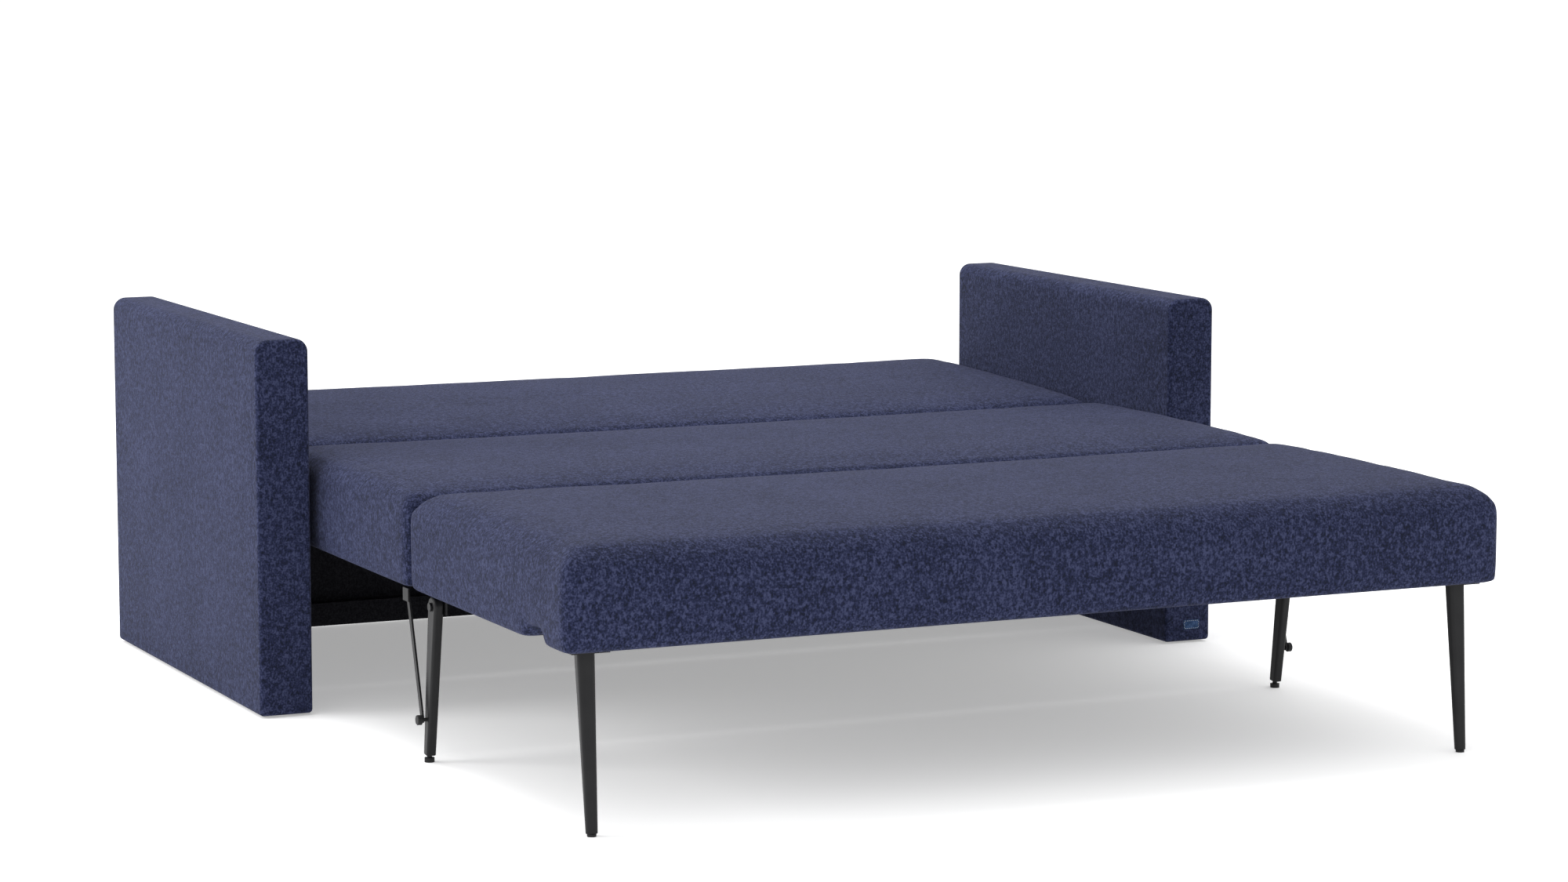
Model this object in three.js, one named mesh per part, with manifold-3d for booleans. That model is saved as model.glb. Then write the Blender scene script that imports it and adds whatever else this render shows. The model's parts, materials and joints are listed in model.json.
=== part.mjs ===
// Three-section sofa bed, opened flat between two upholstered arms.
// Millimetres, +Z up, the foot of the bed towards -Y, origin on the floor at the middle of the footprint.
import * as THREE from "three";
import { mergeVertices } from "three/addons/utils/BufferGeometryUtils.js";
import Module from "manifold-3d";

// Driving dimensions
const mattressWidth = 1602;
const seatDepth = 667;
const middleDepth = 642;
const headDepth = 668;
const sectionGap = 2; // between the facing ends of two sections
const undersideHeight = 271;
const boardThickness = 24.7;
const foamThickness = 126;
const crownRise = 18; // how much higher the head end lies
const topEdgeRadius = 40;
const lipDepth = 105.5; // front rail of the seat section
const grooveWidth = 63; // between the front rail and the seat board
const touchGap = 0.3; // clearance between touching pieces

const armThickness = 94;
const armDepth = 835;
const armHeight = 628;
const armTopRadius = 22;
const armSideGap = 8; // between mattress and arm
const armRearSetback = 58; // the mattress stands this far past the arms at the rear
const padHeight = 3;
const padRadius = 15;

const panelThickness = 24;
const panelBottom = 50;
const panelTop = 255;
const plinthDepth = 40;
const plinthBottom = 7;
const railWidth = 11.5;
const railHeight = 37;
const railTop = 262;
const railLength = 600;
const headGlideLength = 40;
const headGlideWidth = 11;

const frontLegInset = 57; // leg axis from the side of the mattress
const frontLegSetback = 56.5; // leg axis from the front edge, at the underside
const frontLegSplay = 24.5; // how far the foot stands in front of the top
const frontLegTopWidth = 28;
const frontLegTopDepth = 20;
const frontLegFootWidth = 18;
const footPadHeight = 4;

const midLegInset = 31; // leg centre plane from the side of the mattress
const midLegThickness = 16;
const midLegTopWidth = 33;
const midLegFootWidth = 18;
const midLegLean = 8; // degrees, foot towards the rear
const midLegPivotSetback = 61.5; // pivot in front of the seat's rear end
const midLegPivotDrop = 19; // pivot below the underside
const midFootHeight = 7;
const midFootRadius = 8;
const midFootStemRadius = 4;
const plateThickness = 2.4;
const pinRadius = 4;
const pinClearance = 0.2;

const stayThickness = 3;
const stayEndRadius = 5;
const stayPinHeight = 70; // lower pivot of the stay above the floor
const stayAnchorSetback = 21.5; // upper end behind the middle section's front end
const stayAnchorDrop = 13;
const knobRadius = 8;
const knobThickness = 8;
const knobStemRadius = 3;

const hingeAxisDrop = 7; // head hinge axis below the undersides
const hingeBarrelRadius = 5.6;
const hingePinRadius = 2;
const hingeLeafWidth = 30;
const hingeLeafReach = 60;
const hingeInset = 200; // hinge centre from the side of the mattress

const labelWidth = 32;
const labelHeight = 17;
const labelThickness = 1.2;
const labelCentreHeight = 34;

// Places that follow from them
const halfWidth = mattressWidth / 2;
const totalLength = seatDepth + middleDepth + headDepth + 2 * sectionGap;
const frontEnd = -totalLength / 2;
const seatRear = frontEnd + seatDepth;
const middleFront = seatRear + sectionGap;
const middleRear = middleFront + middleDepth;
const headFront = middleRear + sectionGap;
const headRear = headFront + headDepth;
const boardTop = undersideHeight + boardThickness;
const foamBottom = boardTop + touchGap;
const mattressTop = foamBottom + foamThickness;
const armInner = halfWidth + armSideGap;
const armOuter = armInner + armThickness;
const armRear = headRear - armRearSetback;
const armFront = armRear - armDepth;
const hangLevel = undersideHeight - touchGap; // top of what is screwed under a board
const pivotY = seatRear - midLegPivotSetback;
const pivotZ = undersideHeight - midLegPivotDrop;
const midLegX = halfWidth - midLegInset;
const midLegOuterFace = midLegX + midLegThickness / 2;
const stayInnerFace = midLegOuterFace + 5;

const wasm = await Module();
wasm.setup();

const paint = {
  fabric: new THREE.MeshStandardMaterial({ color: 0x343a66, roughness: 0.95 }),
  lining: new THREE.MeshStandardMaterial({ color: 0x15151a, roughness: 0.9 }),
  blackMetal: new THREE.MeshStandardMaterial({ color: 0x18181a, roughness: 0.4, metalness: 0.6 }),
  steel: new THREE.MeshStandardMaterial({ color: 0x9a9a9c, roughness: 0.35, metalness: 1 }),
  plastic: new THREE.MeshStandardMaterial({ color: 0x101012, roughness: 0.6 }),
  label: new THREE.MeshStandardMaterial({ color: 0x24344f, roughness: 0.9 }),
};

const sofaBed = new THREE.Group();

function addPiece(name, geometry, material) {
  const mesh = new THREE.Mesh(geometry, material);
  mesh.name = name;
  sofaBed.add(mesh);
  return mesh;
}

function solidOf(geometry) {
  const bare = geometry.clone();
  bare.deleteAttribute("normal");
  bare.deleteAttribute("uv");
  const merged = mergeVertices(bare, 1e-3);
  const triVerts = new Uint32Array(merged.index.array);
  const vertProperties = merged.attributes.position.array;
  return new wasm.Manifold(new wasm.Mesh({ numProp: 3, vertProperties, triVerts }));
}

function geometryOf(solid) {
  const mesh = solid.getMesh();
  const geometry = new THREE.BufferGeometry();
  geometry.setAttribute("position", new THREE.BufferAttribute(mesh.vertProperties, 3));
  geometry.setIndex(new THREE.BufferAttribute(mesh.triVerts, 1));
  return geometry;
}

function join(...geometries) {
  return geometryOf(geometries.map(solidOf).reduce((whole, next) => whole.add(next)));
}

function boxBetween(x0, x1, y0, y1, z0, z1) {
  const box = new THREE.BoxGeometry(Math.abs(x1 - x0), y1 - y0, z1 - z0);
  return box.translate((x0 + x1) / 2, (y0 + y1) / 2, (z0 + z1) / 2);
}

// Outline with its own radius at each corner, in the order low-left, low-right, top-right, top-left.
function roundedOutline(u0, v0, u1, v1, [r0, r1, r2, r3]) {
  const outline = new THREE.Shape();
  outline.absarc(u0 + r0, v0 + r0, r0, Math.PI, 1.5 * Math.PI);
  outline.absarc(u1 - r1, v0 + r1, r1, 1.5 * Math.PI, 2 * Math.PI);
  outline.absarc(u1 - r2, v1 - r2, r2, 0, 0.5 * Math.PI);
  outline.absarc(u0 + r3, v1 - r3, r3, 0.5 * Math.PI, Math.PI);
  return outline;
}

// A side view (Y across, Z up) extruded along X.
function extrudeAcross(outline, x0, x1) {
  const depth = Math.abs(x1 - x0);
  const geometry = new THREE.ExtrudeGeometry(outline, { depth, bevelEnabled: false, curveSegments: 6 });
  const axes = new THREE.Matrix4().makeBasis(
    new THREE.Vector3(0, 1, 0),
    new THREE.Vector3(0, 0, 1),
    new THREE.Vector3(1, 0, 0),
  );
  return geometry.applyMatrix4(axes).translate(Math.min(x0, x1), 0, 0);
}

// A front view (X across, Z up) extruded along Y.
function extrudeBack(outline, y0, y1) {
  const geometry = new THREE.ExtrudeGeometry(outline, {
    depth: y1 - y0,
    bevelEnabled: false,
    curveSegments: 6,
  });
  return geometry.rotateX(Math.PI / 2).translate(0, y1, 0);
}

// A turned piece: its profile is radius and distance along X, from x0 outwards to the given side.
function turnedAlongX(profile, side, x0, y, z) {
  const points = profile.map(([radius, along]) => new THREE.Vector2(radius, along));
  const geometry = new THREE.LatheGeometry(points, 16);
  geometry.rotateZ(side > 0 ? -Math.PI / 2 : Math.PI / 2);
  return geometry.translate(side * x0, y, z);
}

function turnedUp(profile, x, y, z) {
  const points = profile.map(([radius, up]) => new THREE.Vector2(radius, up));
  return new THREE.LatheGeometry(points, 16).rotateX(Math.PI / 2).translate(x, y, z);
}

function pad(radius, height, x, y) {
  return turnedUp([[0, 0], [radius, 0], [radius, height], [0, height]], x, y, 0);
}

// Arms, with a plain sewn-on label near the floor on the front of the right one
function makeArm(name, side) {
  const inner = Math.min(side * armInner, side * armOuter);
  const radii = [4, 4, armTopRadius, armTopRadius];
  const outline = roundedOutline(inner, padHeight + touchGap, inner + armThickness, armHeight, radii);
  addPiece(`arm_${name}`, extrudeBack(outline, armFront, armRear), paint.fabric);
  const padX = (side * (armInner + armOuter)) / 2;
  const padInset = 3.5 * padRadius;
  addPiece(`arm_pad_front_${name}`, pad(padRadius, padHeight, padX, armFront + padInset), paint.plastic);
  addPiece(`arm_pad_rear_${name}`, pad(padRadius, padHeight, padX, armRear - padInset), paint.plastic);
}

function makeLabel() {
  const centre = (armInner + armOuter) / 2 + labelWidth / 5;
  const low = labelCentreHeight - labelHeight / 2;
  const back = armFront - touchGap;
  const box = boxBetween(
    centre - labelWidth / 2,
    centre + labelWidth / 2,
    back - labelThickness,
    back,
    low,
    low + labelHeight,
  );
  addPiece("blank_label", box, paint.label);
}

// Board and rail between the arms at the rear, and the runner on each arm's inner face
function makeBase() {
  const reach = armInner - touchGap;
  const back = armRear - 2;
  const panelFront = back - panelThickness;
  const plinthTop = panelBottom - touchGap;
  const panel = boxBetween(-reach, reach, panelFront, back, panelBottom, panelTop);
  addPiece("rear_panel", panel, paint.lining);
  const plinth = boxBetween(-reach, reach, back - plinthDepth, back, plinthBottom, plinthTop);
  addPiece("plinth_rail", plinth, paint.lining);
  for (const [name, side] of sides) {
    const end = panelFront - touchGap;
    const rail = boxBetween(
      side * (reach - railWidth),
      side * reach,
      end - railLength,
      end,
      railTop - railHeight,
      railTop,
    );
    addPiece(`runner_${name}`, rail, paint.steel);
  }
}

// Mattress sections: a board, the foam and its cover on top
function makeSeatSection() {
  const lipRear = frontEnd + lipDepth;
  const boardFront = lipRear + grooveWidth;
  const lipBox = roundedOutline(frontEnd, undersideHeight, lipRear, boardTop, [12, 3, 3, 3]);
  addPiece("front_rail", extrudeAcross(lipBox, -halfWidth, halfWidth), paint.fabric);
  const boardOutline = roundedOutline(boardFront, undersideHeight, seatRear, boardTop, [8, 3, 3, 3]);
  addPiece("seat_board", extrudeAcross(boardOutline, -halfWidth, halfWidth), paint.fabric);
  const radii = [2, 2, topEdgeRadius, topEdgeRadius];
  const foam = roundedOutline(frontEnd, foamBottom, seatRear, mattressTop, radii);
  addPiece("seat_cushion", extrudeAcross(foam, -halfWidth, halfWidth), paint.fabric);
}

function makeMiddleSection() {
  const board = boxBetween(-halfWidth, halfWidth, middleFront, middleRear, undersideHeight, boardTop);
  addPiece("middle_board", board, paint.fabric);
  const foam = roundedOutline(middleFront, foamBottom, middleRear, mattressTop, [2, 2, 12, 12]);
  addPiece("middle_cushion", extrudeAcross(foam, -halfWidth, halfWidth), paint.fabric);
}

function makeHeadSection() {
  const board = boxBetween(-halfWidth, halfWidth, headFront, headRear, undersideHeight, boardTop);
  addPiece("head_board", board, paint.fabric);
  const radius = topEdgeRadius;
  const foam = new THREE.Shape();
  foam.moveTo(headFront, foamBottom);
  foam.lineTo(headRear, foamBottom);
  foam.absarc(headRear - radius, mattressTop + crownRise - radius, radius, 0, 0.5 * Math.PI);
  foam.lineTo(headFront, mattressTop);
  addPiece("head_cushion", extrudeAcross(foam, -halfWidth, halfWidth), paint.fabric);
  for (const [name, side] of sides) {
    const outer = side * (halfWidth - 0.5);
    const back = armRear - panelThickness - headGlideLength / 2;
    const glide = boxBetween(
      outer,
      outer - side * headGlideWidth,
      back - headGlideLength,
      back,
      railTop + touchGap,
      hangLevel,
    );
    addPiece(`head_glide_${name}`, glide, paint.plastic);
  }
}

// Front legs: tapered oval tubes splayed forward, each under a screwed plate
function makeFrontLeg(name, side) {
  const x = side * (halfWidth - frontLegInset);
  const topY = frontEnd + frontLegSetback;
  const plateZ = hangLevel - plateThickness;
  const plate = boxBetween(x - 30, x + 30, topY - 26, topY + 26, plateZ, hangLevel);
  addPiece(`front_leg_plate_${name}`, plate, paint.blackMetal);
  const legTop = plateZ - touchGap;
  const legBottom = footPadHeight + touchGap;
  const length = legTop - legBottom;
  const leg = new THREE.CylinderGeometry(frontLegTopWidth / 2, frontLegFootWidth / 2, length, 20);
  leg.rotateX(Math.PI / 2).scale(1, frontLegTopDepth / frontLegTopWidth, 1);
  const lean = new THREE.Matrix4().makeShear(0, 0, 0, 0, 0, frontLegSplay / length);
  leg.applyMatrix4(lean);
  leg.translate(x, topY - frontLegSplay / 2, (legTop + legBottom) / 2);
  addPiece(`front_leg_${name}`, leg, paint.blackMetal);
  const foot = pad(frontLegFootWidth / 2 - 2, footPadHeight, x, topY - frontLegSplay);
  addPiece(`front_foot_${name}`, foot, paint.plastic);
}

// Folding legs: a flat tapered blade on a pivot, its foot, its bracket and its pin
function makeMidLeg(name, side) {
  const lean = THREE.MathUtils.degToRad(midLegLean);
  const half = midLegTopWidth / 2;
  const stemTop = midFootHeight + 5;
  const endRise = stemTop + touchGap + (midLegFootWidth / 2) * Math.sin(lean);
  const bladeLength = (pivotZ - endRise) / Math.cos(lean);
  const blade = new THREE.Shape();
  blade.absarc(0, 0, half, 0, Math.PI);
  blade.lineTo(-midLegFootWidth / 2, -bladeLength);
  blade.lineTo(midLegFootWidth / 2, -bladeLength);
  const hole = new THREE.Path();
  hole.absarc(0, 0, pinRadius + pinClearance, 0, 2 * Math.PI, true);
  blade.holes.push(hole);
  const inner = midLegX - midLegThickness / 2;
  const geometry = extrudeAcross(blade, side * inner, side * midLegOuterFace);
  geometry.rotateX(lean).translate(0, pivotY, pivotZ);
  addPiece(`mid_leg_${name}`, geometry, paint.blackMetal);

  const footY = pivotY + pivotZ * Math.tan(lean);
  const footProfile = [
    [0, 0],
    [midFootRadius, 0],
    [midFootRadius, midFootHeight],
    [midFootStemRadius, midFootHeight],
    [midFootStemRadius, stemTop],
    [0, stemTop],
  ];
  addPiece(`mid_foot_${name}`, turnedUp(footProfile, side * midLegX, footY, 0), paint.plastic);

  const plateOuter = inner - 1.5;
  const cheek = boxBetween(
    side * (plateOuter - 3),
    side * plateOuter,
    pivotY - 18,
    pivotY + 18,
    pivotZ - 12,
    hangLevel,
  );
  const flange = boxBetween(
    side * (plateOuter - 32),
    side * plateOuter,
    pivotY - 28,
    pivotY + 28,
    hangLevel - plateThickness,
    hangLevel,
  );
  addPiece(`mid_leg_bracket_${name}`, join(cheek, flange), paint.blackMetal);
  const pinReach = midLegOuterFace + 1 - plateOuter;
  const pinProfile = [
    [0, touchGap],
    [pinRadius, touchGap],
    [pinRadius, pinReach],
    [pinRadius + 3, pinReach],
    [pinRadius + 3, pinReach + 2.5],
    [0, pinReach + 2.5],
  ];
  const pin = turnedAlongX(pinProfile, side, plateOuter, pivotY, pivotZ);
  addPiece(`mid_leg_pin_${name}`, pin, paint.steel);
}

// Stay: a thin bar from the knob low on the leg up to the middle section
function makeStay(name, side) {
  const lean = THREE.MathUtils.degToRad(midLegLean);
  const lowY = pivotY + (pivotZ - stayPinHeight) * Math.tan(lean);
  const highY = middleFront + stayAnchorSetback;
  const highZ = undersideHeight - stayAnchorDrop;
  const length = Math.hypot(highY - lowY, highZ - stayPinHeight);
  const tilt = Math.atan2(highZ - stayPinHeight, highY - lowY);
  const bar = new THREE.Shape();
  bar.absarc(0, 0, stayEndRadius, 0.5 * Math.PI, 1.5 * Math.PI);
  bar.absarc(length, 0, stayEndRadius, -0.5 * Math.PI, 0.5 * Math.PI);
  const eye = new THREE.Path();
  eye.absarc(0, 0, knobStemRadius + pinClearance, 0, 2 * Math.PI, true);
  bar.holes.push(eye);
  const outerFace = stayInnerFace + stayThickness;
  const geometry = extrudeAcross(bar, side * stayInnerFace, side * outerFace);
  geometry.rotateX(tilt).translate(0, lowY, stayPinHeight);
  addPiece(`stay_bar_${name}`, geometry, paint.blackMetal);

  const stemStart = midLegOuterFace + touchGap;
  const headStart = outerFace + touchGap - stemStart;
  const knobProfile = [
    [0, 0],
    [knobStemRadius, 0],
    [knobStemRadius, headStart],
    [knobRadius - 1, headStart],
    [knobRadius, headStart + 1],
    [knobRadius, headStart + knobThickness - 1],
    [knobRadius - 1, headStart + knobThickness],
    [0, headStart + knobThickness],
  ];
  const knob = turnedAlongX(knobProfile, side, stemStart, lowY, stayPinHeight);
  addPiece(`stay_knob_${name}`, knob, paint.plastic);

  const anchorInner = outerFace + 1;
  const anchor = boxBetween(
    side * anchorInner,
    side * (anchorInner + plateThickness),
    highY - 12,
    highY + 12,
    highZ - 8,
    hangLevel,
  );
  addPiece(`stay_anchor_${name}`, anchor, paint.blackMetal);
}

// Hinge under the joint of middle and head sections: two leaves and a pin
function makeHinge(name, side) {
  const x = side * (halfWidth - hingeInset);
  const axisY = (middleRear + headFront) / 2;
  const axisZ = undersideHeight - hingeAxisDrop;
  const leafLow = hangLevel - plateThickness;
  const leaves = [
    ["middle", x - hingeLeafWidth - touchGap / 2, -1],
    ["head", x + touchGap / 2, 1],
  ];
  for (const [section, x0, towards] of leaves) {
    const near = axisY + towards * sectionGap;
    const far = axisY + towards * hingeLeafReach;
    const [low, high] = [Math.min(near, far), Math.max(near, far)];
    const leaf = boxBetween(x0, x0 + hingeLeafWidth, low, high, leafLow, hangLevel);
    const barrel = new THREE.Shape();
    barrel.absarc(axisY, axisZ, hingeBarrelRadius, 0, 2 * Math.PI);
    const ring = extrudeAcross(barrel, x0, x0 + hingeLeafWidth);
    const bore = new THREE.CylinderGeometry(
      hingePinRadius + pinClearance,
      hingePinRadius + pinClearance,
      hingeLeafWidth + 10,
      16,
    );
    bore.rotateZ(Math.PI / 2).translate(x0 + hingeLeafWidth / 2, axisY, axisZ);
    const solid = solidOf(join(leaf, ring)).subtract(solidOf(bore));
    addPiece(`hinge_leaf_${section}_${name}`, geometryOf(solid), paint.steel);
  }
  const pin = new THREE.CylinderGeometry(hingePinRadius, hingePinRadius, 2 * hingeLeafWidth + 2, 16);
  pin.rotateZ(Math.PI / 2).translate(x, axisY, axisZ);
  addPiece(`hinge_pin_${name}`, pin, paint.steel);
}

const sides = [
  ["left", -1],
  ["right", 1],
];

makeBase();
makeSeatSection();
makeMiddleSection();
makeHeadSection();
makeLabel();
for (const [name, side] of sides) {
  makeArm(name, side);
  makeFrontLeg(name, side);
  makeMidLeg(name, side);
  makeStay(name, side);
  makeHinge(name, side);
}

export default sofaBed;
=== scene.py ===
import json
import math

import bmesh
import bpy
from mathutils import Matrix, Vector, noise


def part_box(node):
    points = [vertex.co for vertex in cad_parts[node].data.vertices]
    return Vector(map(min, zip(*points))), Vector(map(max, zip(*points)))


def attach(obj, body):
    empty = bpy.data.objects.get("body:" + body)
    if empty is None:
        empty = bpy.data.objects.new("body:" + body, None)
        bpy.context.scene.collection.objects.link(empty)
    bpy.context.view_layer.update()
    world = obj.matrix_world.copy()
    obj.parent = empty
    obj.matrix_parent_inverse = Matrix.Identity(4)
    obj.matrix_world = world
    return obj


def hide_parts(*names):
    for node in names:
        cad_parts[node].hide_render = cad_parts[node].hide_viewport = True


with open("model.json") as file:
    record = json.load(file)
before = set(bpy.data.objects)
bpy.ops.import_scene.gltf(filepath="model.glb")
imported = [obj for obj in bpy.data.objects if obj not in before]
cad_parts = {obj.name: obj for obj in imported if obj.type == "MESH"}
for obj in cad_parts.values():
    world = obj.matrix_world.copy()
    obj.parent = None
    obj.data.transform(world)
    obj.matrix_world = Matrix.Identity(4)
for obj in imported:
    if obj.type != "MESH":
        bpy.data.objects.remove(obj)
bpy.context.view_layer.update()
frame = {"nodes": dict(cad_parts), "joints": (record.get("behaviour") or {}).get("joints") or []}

# Covers, arms, legs and label of a futon sofa bed, fitted to its frame. Metres, +Z up, +X the right side.
nodes = frame["nodes"]
sharpAngle = 1.2  # radians between faces, above which an edge still wants rounding
alongShare = 0.99  # of an edge's length, for an edge that runs along an axis
levelSlack = 0.000001  # metres, for points that lie at the same height
downwards = -0.9  # a face whose normal has less z than this looks down


def newObject(name, bm, material, smooth=True):
    mesh = bpy.data.meshes.new(name)
    bm.to_mesh(mesh)
    bm.free()
    for face in mesh.polygons:
        face.use_smooth = smooth
    mesh.materials.append(material)
    piece = bpy.data.objects.new(name, mesh)
    bpy.context.scene.collection.objects.link(piece)
    return piece


def addBlock(bm, low, high):
    made = bmesh.ops.create_cube(bm, size=1.0)
    low, high = Vector(low), Vector(high)
    place = Matrix.Translation((low + high) / 2) @ Matrix.Diagonal((*(high - low), 1.0))
    bmesh.ops.transform(bm, matrix=place, verts=made["verts"])
    return made["verts"]


def roundEdges(bm, edges, radius, segments):
    bmesh.ops.bevel(bm, geom=edges, offset=radius, offset_type="OFFSET", affect="EDGES",
                    segments=segments, profile=0.5, material=-1, clamp_overlap=True)


def isAlong(edge, axis):
    span = edge.verts[0].co - edge.verts[1].co
    return abs(span[axis]) > alongShare * span.length


def ringAt(bm, verts, height):
    known = set(verts)
    edges = [e for e in bm.edges if e.verts[0] in known and e.verts[1] in known]
    return [e for e in edges if all(abs(v.co.z - height) < levelSlack for v in e.verts)]


def bakeModifiers(piece):
    depsgraph = bpy.context.evaluated_depsgraph_get()
    baked = bpy.data.meshes.new_from_object(piece.evaluated_get(depsgraph))
    old = piece.data
    piece.modifiers.clear()
    piece.data = baked
    bpy.data.meshes.remove(old)


def subdivide(piece, levels=1):
    finer = piece.modifiers.new("finer", "SUBSURF")
    finer.levels = levels
    finer.render_levels = levels


def socketGroup(name, inputs, outputs):
    group = bpy.data.node_groups.new(name, "ShaderNodeTree")
    for label, kind, value in inputs:
        socket = group.interface.new_socket(label, in_out="INPUT", socket_type=kind)
        if value is not None:
            socket.default_value = value
    for label, kind in outputs:
        group.interface.new_socket(label, in_out="OUTPUT", socket_type=kind)
    return group, group.nodes.new("NodeGroupInput"), group.nodes.new("NodeGroupOutput")


def mathNode(tree, operation, first, second):
    node = tree.nodes.new("ShaderNodeMath")
    node.operation = operation
    for socket, value in zip(node.inputs, (first, second)):
        if isinstance(value, (int, float)):
            socket.default_value = value
        else:
            tree.links.new(value, socket)
    return node.outputs[0]


def scaledNode(tree, value, factor, offset):
    scaled = mathNode(tree, "MULTIPLY_ADD", value, factor)
    scaled.node.inputs[2].default_value = offset
    return scaled


def noiseNode(tree, vector, scale, detail=2.0, stretch=(1, 1, 1)):
    mapping = tree.nodes.new("ShaderNodeMapping")
    mapping.inputs["Scale"].default_value = stretch
    tree.links.new(vector, mapping.inputs["Vector"])
    node = tree.nodes.new("ShaderNodeTexNoise")
    node.inputs["Scale"].default_value = scale
    node.inputs["Detail"].default_value = detail
    tree.links.new(mapping.outputs[0], node.inputs["Vector"])
    return node.outputs[0]


def waveNode(tree, vector, scale, direction):
    node = tree.nodes.new("ShaderNodeTexWave")
    node.bands_direction = direction
    node.inputs["Scale"].default_value = scale
    node.inputs["Distortion"].default_value = weaveSettings["threadWobble"]
    node.inputs["Detail Scale"].default_value = weaveSettings["wobbleScale"]
    tree.links.new(vector, node.inputs["Vector"])
    return node.outputs["Fac"]


def rampNode(tree, value, stops):
    node = tree.nodes.new("ShaderNodeValToRGB")
    ramp = node.color_ramp
    while len(ramp.elements) < len(stops):
        ramp.elements.new(0.5)
    for element, (position, colour) in zip(ramp.elements, stops):
        element.position = position
        element.color = (*colour, 1.0)
    tree.links.new(value, node.inputs["Fac"])
    return node.outputs["Color"]


weaveSettings = {
    "fleck": 330,  # noise scales, cells per metre
    "slub": 330,
    "slubStretch": (1, 1, 0.42),
    "tuft": 130,
    "drift": 7,
    "threads": 190,
    "shares": {"fleck": 0.42, "slub": 0.26, "tuft": 0.26, "drift": 0.06},
    "threadWobble": 1.2,
    "wobbleScale": 2.0,
    "threadRelief": 0.35,
}


def makeWeaveGroup():
    # melange yarn: fine flecks, upright slubs, tufts and a slow drift of tone, over a plain weave
    s = weaveSettings
    group, inside, outside = socketGroup(
        "melangeWeave", [("Vector", "NodeSocketVector", None)],
        [("Yarn", "NodeSocketFloat"), ("Height", "NodeSocketFloat")])
    vector = inside.outputs["Vector"]
    fleck = noiseNode(group, vector, s["fleck"], 3.0)
    slub = noiseNode(group, vector, s["slub"], 2.0, s["slubStretch"])
    tuft = noiseNode(group, vector, s["tuft"])
    drift = noiseNode(group, vector, s["drift"])
    fine = mathNode(group, "ADD", mathNode(group, "MULTIPLY", fleck, s["shares"]["fleck"]),
                    mathNode(group, "MULTIPLY", slub, s["shares"]["slub"]))
    broad = mathNode(group, "ADD", mathNode(group, "MULTIPLY", tuft, s["shares"]["tuft"]),
                     mathNode(group, "MULTIPLY", drift, s["shares"]["drift"]))
    yarn = mathNode(group, "ADD", fine, broad)
    threads = mathNode(group, "MULTIPLY", waveNode(group, vector, s["threads"], "X"),
                       waveNode(group, vector, s["threads"], "Z"))
    threads = mathNode(group, "ADD", threads, waveNode(group, vector, s["threads"], "Y"))
    height = mathNode(group, "ADD", mathNode(group, "MULTIPLY", threads, s["threadRelief"]), fleck)
    group.links.new(yarn, outside.inputs["Yarn"])
    group.links.new(height, outside.inputs["Height"])
    return group


grainSettings = {"marks": 22, "peel": 900}  # noise scales, cells per metre


def makeGrainGroup():
    # fine orange peel of a coating or a moulded surface, and slow handling marks
    group, inside, outside = socketGroup(
        "surfaceGrain", [("Vector", "NodeSocketVector", None)],
        [("Marks", "NodeSocketFloat"), ("Height", "NodeSocketFloat")])
    vector = inside.outputs["Vector"]
    group.links.new(noiseNode(group, vector, grainSettings["marks"], 4.0), outside.inputs["Marks"])
    group.links.new(noiseNode(group, vector, grainSettings["peel"]), outside.inputs["Height"])
    return group


weaveGroup = makeWeaveGroup()
grainGroup = makeGrainGroup()


def startMaterial(name, group):
    material = bpy.data.materials.new(name)
    material.use_nodes = True
    tree = material.node_tree
    shader = tree.nodes["Principled BSDF"]
    place = tree.nodes.new("ShaderNodeTexCoord")
    effect = tree.nodes.new("ShaderNodeGroup")
    effect.node_tree = group
    tree.links.new(place.outputs["Object"], effect.inputs["Vector"])
    return material, tree, shader, effect


def bumpFrom(tree, height, shader, strength, distance):
    bump = tree.nodes.new("ShaderNodeBump")
    bump.inputs["Strength"].default_value = strength
    bump.inputs["Distance"].default_value = distance
    tree.links.new(height, bump.inputs["Height"])
    tree.links.new(bump.outputs["Normal"], shader.inputs["Normal"])


clothSettings = {
    "yarnStops": (0.405, 0.49, 0.585),  # where the dark, middle and light yarns sit on the mix
    "roughness": 0.84,
    "roughnessSpread": 0.12,
    "specular": 0.15,
    "sheenRoughness": 0.45,
    "bumpStrength": 0.55,
    "bumpDistance": 0.0009,
}
coatSettings = {
    "markStops": (0.3, 0.7),  # where the dark and the light tone sit on the handling marks
    "specular": 0.22,
    "roughnessSpread": 0.14,
    "bumpDistance": 0.0002,
}


def clothMaterial(name, dark, middle, light, sheen, sheenTint):
    s = clothSettings
    material, tree, shader, weave = startMaterial(name, weaveGroup)
    stops = list(zip(s["yarnStops"], (dark, middle, light)))
    tree.links.new(rampNode(tree, weave.outputs["Yarn"], stops), shader.inputs["Base Color"])
    roughness = scaledNode(tree, weave.outputs["Yarn"], s["roughnessSpread"], s["roughness"])
    tree.links.new(roughness, shader.inputs["Roughness"])
    shader.inputs["Specular IOR Level"].default_value = s["specular"]
    shader.inputs["Sheen Weight"].default_value = sheen
    shader.inputs["Sheen Roughness"].default_value = s["sheenRoughness"]
    shader.inputs["Sheen Tint"].default_value = (*sheenTint, 1.0)
    bumpFrom(tree, weave.outputs["Height"], shader, s["bumpStrength"], s["bumpDistance"])
    return material


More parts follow.
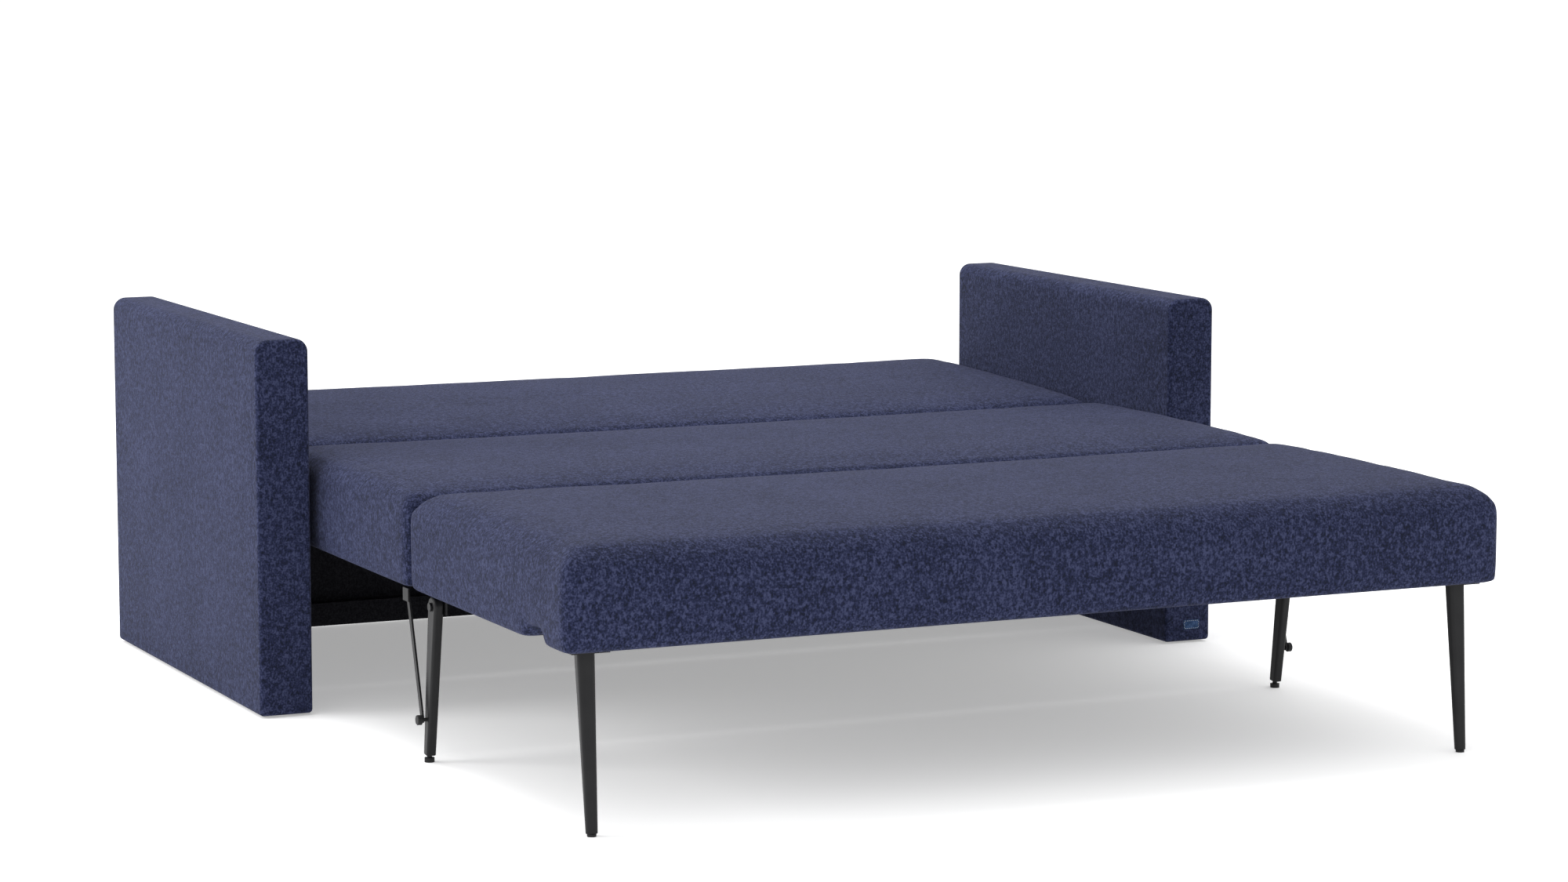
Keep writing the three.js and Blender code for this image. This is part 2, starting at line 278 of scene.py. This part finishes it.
def hardMaterial(name, dark, light, roughness, metallic, grain=0.2):
    material, tree, shader, surface = startMaterial(name, grainGroup)
    stops = list(zip(coatSettings["markStops"], (dark, light)))
    colour = rampNode(tree, surface.outputs["Marks"], stops)
    tree.links.new(colour, shader.inputs["Base Color"])
    width = coatSettings["roughnessSpread"]
    spread = scaledNode(tree, surface.outputs["Marks"], width, roughness - width / 2)
    tree.links.new(spread, shader.inputs["Roughness"])
    shader.inputs["Metallic"].default_value = metallic
    shader.inputs["Specular IOR Level"].default_value = coatSettings["specular"]
    bumpFrom(tree, surface.outputs["Height"], shader, grain, coatSettings["bumpDistance"])
    return material


upholstery = clothMaterial(
    "navyMelange", dark=(0.0045, 0.0066, 0.018), middle=(0.0125, 0.0163, 0.046),
    light=(0.039, 0.046, 0.1), sheen=0.06, sheenTint=(0.62, 0.64, 0.85))
lining = clothMaterial(
    "blackLining", dark=(0.004, 0.004, 0.006), middle=(0.008, 0.008, 0.011),
    light=(0.016, 0.016, 0.02), sheen=0.05, sheenTint=(0.6, 0.6, 0.7))
labelCloth = clothMaterial(
    "labelTape", dark=(0.012, 0.03, 0.07), middle=(0.022, 0.05, 0.12),
    light=(0.05, 0.09, 0.19), sheen=0.15, sheenTint=(0.6, 0.7, 0.9))
labelThread = clothMaterial(
    "labelThread", dark=(0.3, 0.32, 0.36), middle=(0.42, 0.44, 0.48),
    light=(0.55, 0.57, 0.6), sheen=0.1, sheenTint=(1.0, 1.0, 1.0))
blackMetal = hardMaterial(
    "blackPowderCoat", dark=(0.006, 0.006, 0.007), light=(0.011, 0.011, 0.012),
    roughness=0.42, metallic=0.0)
steel = hardMaterial(
    "zincPlate", dark=(0.36, 0.36, 0.37), light=(0.52, 0.52, 0.53), roughness=0.32, metallic=1.0)
plastic = hardMaterial(
    "blackPlastic", dark=(0.009, 0.009, 0.010), light=(0.014, 0.014, 0.015),
    roughness=0.5, metallic=0.0, grain=0.4)
print("materials made")


cameraSettings = {
    "place": (-3.075, -6.687, 1.361),
    "headingDegrees": 24.72,  # from +Y towards +X
    "pitchDegrees": 7.235,
    "lens": 100.0,  # millimetres, on a sensor of sensorWidth
    "sensorWidth": 36.0,
    "clipEnd": 100.0,
}
studioSettings = {
    "worldStrength": 1.02,
    "lights": {
        "overhead": {"place": (-0.6, 0.8, 4.2), "target": (0.0, 0.0, 0.0), "size": 3.2, "power": 120.0},
        "leftSide": {"place": (-5.0, 1.0, 2.4), "target": (0.0, 0.0, 0.4), "size": 2.4, "power": 100.0},
    },
    "floorSize": 40.0,
    "floorColour": (0.93, 0.93, 0.93),
    "floorRoughness": 0.9,
    "floorSpecular": 0.1,
    "floorGlow": 0.36,  # a lit studio floor, so shadows stay pale
}


def makeCamera():
    data = bpy.data.cameras.new("camera")
    data.lens = cameraSettings["lens"]
    data.sensor_width = cameraSettings["sensorWidth"]
    data.clip_end = cameraSettings["clipEnd"]
    camera = bpy.data.objects.new("camera", data)
    camera.location = cameraSettings["place"]
    tilt = math.radians(90.0 - cameraSettings["pitchDegrees"])
    camera.rotation_euler = (tilt, 0.0, -math.radians(cameraSettings["headingDegrees"]))
    bpy.context.scene.collection.objects.link(camera)
    bpy.context.scene.camera = camera


def makeLight(name, place, target, size, power):
    data = bpy.data.lights.new(name, "AREA")
    data.shape = "DISK"
    data.size = size
    data.energy = power
    light = bpy.data.objects.new(name, data)
    light.location = place
    light.rotation_euler = (Vector(target) - Vector(place)).to_track_quat("-Z", "Y").to_euler()
    bpy.context.scene.collection.objects.link(light)


def makeStudio():
    s = studioSettings
    world = bpy.data.worlds.new("studio")
    bpy.context.scene.world = world
    world.use_nodes = True
    background = world.node_tree.nodes["Background"]
    background.inputs["Color"].default_value = (1.0, 1.0, 1.0, 1.0)
    background.inputs["Strength"].default_value = s["worldStrength"]
    for name, light in s["lights"].items():
        makeLight(name, **light)
    bm = bmesh.new()
    bmesh.ops.create_grid(bm, x_segments=1, y_segments=1, size=s["floorSize"])
    floorPaint = bpy.data.materials.new("paleFloor")
    floorPaint.use_nodes = True
    shader = floorPaint.node_tree.nodes["Principled BSDF"]
    shader.inputs["Base Color"].default_value = (*s["floorColour"], 1.0)
    shader.inputs["Roughness"].default_value = s["floorRoughness"]
    shader.inputs["Specular IOR Level"].default_value = s["floorSpecular"]
    shader.inputs["Emission Color"].default_value = (1.0, 1.0, 1.0, 1.0)
    shader.inputs["Emission Strength"].default_value = s["floorGlow"]
    floor = newObject("floor", bm, floorPaint, smooth=False)
    bpy.context.scene.view_settings.view_transform = "Standard"


makeCamera()
makeStudio()
print("camera and studio made")


sectionSettings = {
    "voxel": 0.011,
    "shrink": 0.003,  # the cloth is cut smaller than the foam and swells back
    "topRadius": {"seat": 0.036, "middle": 0.015, "head": 0.026},
    "topSegments": 6,
    "sideRadius": 0.014,
    "bottomRadius": 0.012,
    "edgeSegments": 4,
    "boardRadius": 0.004,
    "boardLap": 0.02,  # how far the boards reach up into the foam, so that one cover holds both
    "foamLap": 0.002,  # and how far the foam reaches down into them
    "pressure": 4.0,
    "frames": 20,
    "clothQuality": 4,
    "clothStiffness": 20.0,
    "smoothPasses": 2,
    "topCap": 0.007,  # how far a point may swell, on top and at the sides
    "sideCap": 0.003,
    "topFacing": 0.5,  # a normal with more z than this belongs to the top, or turned over to the underside
    "crown": 0.007,
    "liningMargin": 0.035,
    "undersideDepth": 0.004,
    "puckerSize": 0.0007,
    "puckerUp": 9.0,  # noise scales, cells per metre
    "puckerSideways": 7.0,
}


def paddedBlock(bm, low, high, topRadius, bottomRadius):
    verts = addBlock(bm, low, high)
    topRing = ringAt(bm, verts, high[2])
    before = set(bm.verts) - set(verts)
    roundEdges(bm, topRing, topRadius, sectionSettings["topSegments"])
    own = [v for v in bm.verts if v not in before]
    known = set(own)
    upright = [e for e in bm.edges if set(e.verts) <= known and isAlong(e, 2)
               and abs(e.calc_face_angle(0.0)) > sharpAngle]
    roundEdges(bm, upright, sectionSettings["sideRadius"], sectionSettings["edgeSegments"])
    own = [v for v in bm.verts if v not in before]
    bottomRing = [e for e in ringAt(bm, own, low[2]) if abs(e.calc_face_angle(0.0)) > sharpAngle]
    roundEdges(bm, bottomRing, bottomRadius, sectionSettings["edgeSegments"])


def inflate(piece, s):
    # short cloth simulation; each point may move only as far as the foam lets it
    copy = piece.copy()
    copy.data = piece.data.copy()
    bpy.context.scene.collection.objects.link(copy)
    cloth = copy.modifiers.new("swell", "CLOTH")
    cloth.settings.use_pressure = True
    cloth.settings.uniform_pressure_force = s["pressure"]
    cloth.settings.effector_weights.gravity = 0.0
    cloth.settings.quality = s["clothQuality"]
    cloth.settings.tension_stiffness = s["clothStiffness"]
    cloth.settings.compression_stiffness = s["clothStiffness"]
    cloth.point_cache.frame_start = 1
    cloth.point_cache.frame_end = s["frames"]
    for step in range(1, s["frames"] + 1):
        bpy.context.scene.frame_set(step)
    bakeModifiers(copy)
    for start, end in zip(piece.data.vertices, copy.data.vertices):
        move = end.co - start.co
        up = start.normal.z  # the top swells most and the underside stays flat
        cap = s["topCap"] if up > s["topFacing"] else s["sideCap"] if up > -s["topFacing"] else 0.0
        if move.length > cap:
            move = move.normalized() * cap
        end.co = start.co + move
    old = piece.data
    piece.data = copy.data
    bpy.data.objects.remove(copy)
    bpy.data.meshes.remove(old)
    bpy.context.scene.frame_set(1)


def settle(piece, low, high, s, rise):
    # crown along the section, slow unevenness of the foam, and the head end's rise
    middle = (low.y + high.y) / 2
    half = (high.y - low.y) / 2
    otherNoise = Vector((5, 0, 0))  # another part of the noise, so sides and top differ
    for vertex in piece.data.vertices:
        place = vertex.co
        along = min(1.0, abs(place.y - middle) / half)
        lifted = max(0.0, (place.z - low.z) / (high.z - low.z))
        crown = s["crown"] * (1.0 - along ** 2.5) * lifted ** 3
        pucker = noise.noise(place * s["puckerUp"]) * s["puckerSize"]
        place.z += crown + pucker * lifted + rise * lifted * (place.y - low.y) / (2 * half)
        across = Vector((place.x, 0, 0)).normalized()
        sideways = noise.noise(place * s["puckerSideways"] + otherNoise)
        place += across * sideways * s["puckerSize"]


def lineUnderside(piece, low, high, margin):
    piece.data.materials.append(lining)
    for face in piece.data.polygons:
        spot = face.center
        inside = low.x + margin < spot.x < high.x - margin and low.y + margin < spot.y < high.y - margin
        atBottom = spot.z < low.z + sectionSettings["undersideDepth"]
        if face.normal.z < downwards and atBottom and inside:
            face.material_index = 1


def makeSection(name, body, replaced, blocks, topRadius, rise=0.0):
    s = sectionSettings
    low = Vector([min(block[0][axis] for block in blocks) for axis in range(3)])
    high = Vector([max(block[1][axis] for block in blocks) for axis in range(3)])
    bm = bmesh.new()
    for blockLow, blockHigh, top in blocks:
        shrink = s["shrink"]
        first = (blockLow[0] + shrink, blockLow[1] + shrink / 3, blockLow[2])
        last = (blockHigh[0] - shrink, blockHigh[1] - shrink / 3, blockHigh[2] - shrink)
        paddedBlock(bm, first, last, topRadius if top else s["boardRadius"], s["bottomRadius"])
    bmesh.ops.recalc_face_normals(bm, faces=bm.faces)
    piece = newObject(name, bm, upholstery)
    remesh = piece.modifiers.new("cover", "REMESH")
    remesh.mode = "VOXEL"
    remesh.voxel_size = s["voxel"]
    remesh.use_smooth_shade = True
    bakeModifiers(piece)
    inflate(piece, s)
    bm = bmesh.new()
    bm.from_mesh(piece.data)
    for _ in range(s["smoothPasses"]):
        bmesh.ops.smooth_vert(bm, verts=bm.verts, factor=0.5, use_axis_x=True,
                              use_axis_y=True, use_axis_z=True)
    bm.to_mesh(piece.data)
    bm.free()
    settle(piece, low, high, s, rise)
    lineUnderside(piece, low, high, s["liningMargin"])
    subdivide(piece)
    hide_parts(*replaced)
    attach(piece, body)
    print("section made:", name, len(piece.data.vertices), "points")


def makeMattress():
    cushionLow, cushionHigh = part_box("seat_cushion")
    boardLow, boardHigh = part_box("seat_board")
    railLow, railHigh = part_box("front_rail")
    lap = Vector((0, 0, sectionSettings["boardLap"]))
    foamLap = sectionSettings["foamLap"]
    topRadius = sectionSettings["topRadius"]
    blocks = [
        ((cushionLow.x, cushionLow.y, cushionLow.z - foamLap), cushionHigh, True),
        (boardLow, boardHigh + lap, False),
        (railLow, railHigh + lap, False),
    ]
    makeSection("seat_section", "seat", ["seat_cushion", "seat_board", "front_rail"], blocks,
                topRadius["seat"])
    low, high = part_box("middle_board")[0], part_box("middle_cushion")[1]
    makeSection("middle_section_cover", "middle_section", ["middle_cushion", "middle_board"],
                [(low, high, True)], topRadius["middle"])
    low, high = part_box("head_board")[0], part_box("head_cushion")[1]
    rise = high.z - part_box("middle_cushion")[1].z
    makeSection("head_section_cover", "head_section", ["head_cushion", "head_board"],
                [(low, high - Vector((0, 0, rise)), True)], topRadius["head"], rise)


makeMattress()


armSettings = {
    "topRadius": 0.022,
    "topSegments": 8,
    "cornerRadius": 0.007,
    "cornerSegments": 4,
    "longEdge": 0.3,  # edges longer than this are cut, so that the sides can swell
    "cuts": 16,
    "belly": 0.0014,  # how far the padding swells the flat sides
    "pucker": 0.0005,
    "puckerScale": 8.0,
    "bottomDepth": 0.001,
}


def makeArm(side):
    s = armSettings
    low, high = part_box("arm_" + side)
    middle = (low + high) / 2
    size = high - low
    bm = bmesh.new()
    addBlock(bm, low + Vector((s["belly"], 0, 0)), high - Vector((s["belly"], 0, 0)))
    tops = [e for e in bm.edges if isAlong(e, 1) and e.verts[0].co.z > middle.z]
    roundEdges(bm, tops, s["topRadius"], s["topSegments"])
    ends = [e for e in bm.edges if e.calc_face_angle(0.0) > sharpAngle]
    roundEdges(bm, ends, s["cornerRadius"], s["cornerSegments"])
    long = [e for e in bm.edges if e.calc_length() > s["longEdge"]]
    bmesh.ops.subdivide_edges(bm, edges=long, cuts=s["cuts"], use_grid_fill=True)
    for vertex in bm.verts:
        place = vertex.co
        along = 1.0 - (2 * (place.y - middle.y) / size.y) ** 4
        up = 1.0 - (2 * (place.z - middle.z) / size.z) ** 4
        swell = s["belly"] * max(0.0, along) * max(0.0, up)
        wave = noise.noise(place * s["puckerScale"]) * s["pucker"] * max(0.0, along) * max(0.0, up)
        place.x += math.copysign(swell + wave, place.x - middle.x)
    piece = newObject("arm_cover_" + side, bm, upholstery)
    piece.data.materials.append(lining)
    for face in piece.data.polygons:
        if face.normal.z < downwards and face.center.z < low.z + s["bottomDepth"]:
            face.material_index = 1
    smooth = piece.modifiers.new("edges", "WEIGHTED_NORMAL")
    smooth.keep_sharp = True
    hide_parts("arm_" + side)
    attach(piece, "base")


for side in ("left", "right"):
    makeArm(side)
print("arms made")


legSettings = {
    "frontCorner": 0.006,
    "midCorner": 0.0045,
    "cornerSegments": 5,
    "roundTop": 0.97,  # of half the middle leg's width
    "roundTopSegments": 10,
    "rim": 0.0008,
    "rimSegments": 2,
    "rimAngle": 1.0,
    "endDepth": 0.004,  # points this near to an end of a leg belong to it
}


def taperedBar(name, top, bottom, topSize, bottomSize, corner, roundTop=0.0, turn=None):
    # a bar between two level ends, its top rounded over and the whole turned if asked; sizes are (x, y)
    s = legSettings
    halfway = (top.z + bottom.z) / 2
    bm = bmesh.new()
    bmesh.ops.create_cube(bm, size=1.0)
    for vertex in bm.verts:
        upper = vertex.co.z > 0
        centre, size = (top, topSize) if upper else (bottom, bottomSize)
        vertex.co.x = centre.x + math.copysign(size[0] / 2, vertex.co.x)
        vertex.co.y = centre.y + math.copysign(size[1] / 2, vertex.co.y)
        vertex.co.z = centre.z
    if roundTop:
        ends = [e for e in bm.edges if isAlong(e, 0) and e.verts[0].co.z > halfway]
        roundEdges(bm, ends, roundTop, s["roundTopSegments"])
        upright = [e for e in bm.edges if e.calc_face_angle(0.0) > sharpAngle and not isAlong(e, 0)
                   and max(v.co.z for v in e.verts) > halfway]
    else:
        upright = [e for e in bm.edges if abs(e.verts[0].co.z - e.verts[1].co.z) > levelSlack]
    roundEdges(bm, upright, corner, s["cornerSegments"])
    rims = [e for e in bm.edges if e.calc_face_angle(0.0) > s["rimAngle"]]
    roundEdges(bm, rims, s["rim"], s["rimSegments"])
    if turn:
        bmesh.ops.transform(bm, matrix=turn, verts=bm.verts)
    piece = newObject(name, bm, blackMetal)
    piece.modifiers.new("edges", "WEIGHTED_NORMAL")
    return piece


def endCentres(node):
    # middle and size of a leg's CAD solid at its two ends
    points = [v.co for v in nodes[node].data.vertices]
    low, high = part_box(node)
    found = []
    for height in (high.z, low.z):
        near = [p for p in points if abs(p.z - height) < legSettings["endDepth"]]
        spanX = [p.x for p in near]
        spanY = [p.y for p in near]
        centre = Vector(((max(spanX) + min(spanX)) / 2, (max(spanY) + min(spanY)) / 2, height))
        found.append((centre, (max(spanX) - min(spanX), max(spanY) - min(spanY))))
    return found


def makeFrontLeg(side):
    (top, topSize), (bottom, bottomSize) = endCentres("front_leg_" + side)
    piece = taperedBar("front_leg_tube_" + side, top, bottom, topSize, bottomSize,
                       legSettings["frontCorner"])
    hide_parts("front_leg_" + side)
    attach(piece, "seat")


def makeMidLeg(side):
    # built upright on its pivot, then leaned back like the solid it stands for
    node = "mid_leg_" + side
    low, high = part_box(node)
    joint = next(j for j in frame["joints"] if j["name"] == "mid_leg_fold_" + side)
    pivot = Vector(joint["pos_m"])
    foot = endCentres(node)[1][0]
    lean = math.atan2(foot.y - pivot.y, pivot.z - foot.z)
    half = high.z - pivot.z
    thickness = high.x - low.x
    length = math.hypot(foot.y - pivot.y, foot.z - pivot.z)
    footTop = low.z + legSettings["endDepth"]
    points = [v.co for v in nodes[node].data.vertices if v.co.z < footTop]
    footWidth = (max(p.y for p in points) - min(p.y for p in points)) / math.cos(lean)
    turn = Matrix.Translation(pivot) @ Matrix.Rotation(lean, 4, "X")
    piece = taperedBar("mid_leg_tube_" + side, Vector((0, 0, half)), Vector((0, 0, -length)),
                       (thickness, 2 * half), (thickness, footWidth), legSettings["midCorner"],
                       legSettings["roundTop"] * half, turn)
    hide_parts(node)
    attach(piece, "mid_leg_" + side + "_body")


def finishHardware():
    for name, node in nodes.items():
        if name in ("rear_panel", "plinth_rail"):
            paint = lining
        elif name.startswith(("arm_pad", "front_foot", "mid_foot", "stay_knob", "head_glide")):
            paint = plastic
        elif name.startswith(("hinge", "runner")):
            paint = steel
        else:
            paint = blackMetal
        node.data.materials.clear()
        node.data.materials.append(paint)


finishHardware()
for side in ("left", "right"):
    makeFrontLeg(side)
    makeMidLeg(side)
print("legs and hardware made")


labelSettings = {
    "edgeRadius": 0.0004,
    "edgeSegments": 3,
    "inset": 0.0016,
    "stitchLength": 0.0024,
    "stitchGap": 0.0016,
    "stitchWidth": 0.0005,
    "stitchDepth": 0.0002,
}


def makeLabel():
    s = labelSettings
    low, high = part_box("blank_label")
    bm = bmesh.new()
    addBlock(bm, low, high)
    roundEdges(bm, list(bm.edges), s["edgeRadius"], s["edgeSegments"])
    piece = newObject("woven_label", bm, labelCloth)
    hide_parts("blank_label")
    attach(piece, "base")
    bm = bmesh.new()
    pitch = s["stitchLength"] + s["stitchGap"]
    left, right = low.x + s["inset"], high.x - s["inset"]
    down, up = low.z + s["inset"], high.z - s["inset"]
    half = s["stitchWidth"] / 2
    front, back = low.y - s["stitchDepth"], low.y + s["stitchDepth"]
    for fixed, start, end, upright in ((down, left, right, False), (up, left, right, False),
                                       (left, down, up, True), (right, down, up, True)):
        count = int((end - start) / pitch)
        for i in range(count):
            first = start + (i + 0.5) * (end - start) / count - s["stitchLength"] / 2
            last = first + s["stitchLength"]
            if upright:
                box = ((fixed - half, front, first), (fixed + half, back, last))
            else:
                box = ((first, front, fixed - half), (last, back, fixed + half))
            addBlock(bm, *box)
    stitches = newObject("label_stitches", bm, labelThread, smooth=False)
    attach(stitches, "base")


makeLabel()
print("label made")
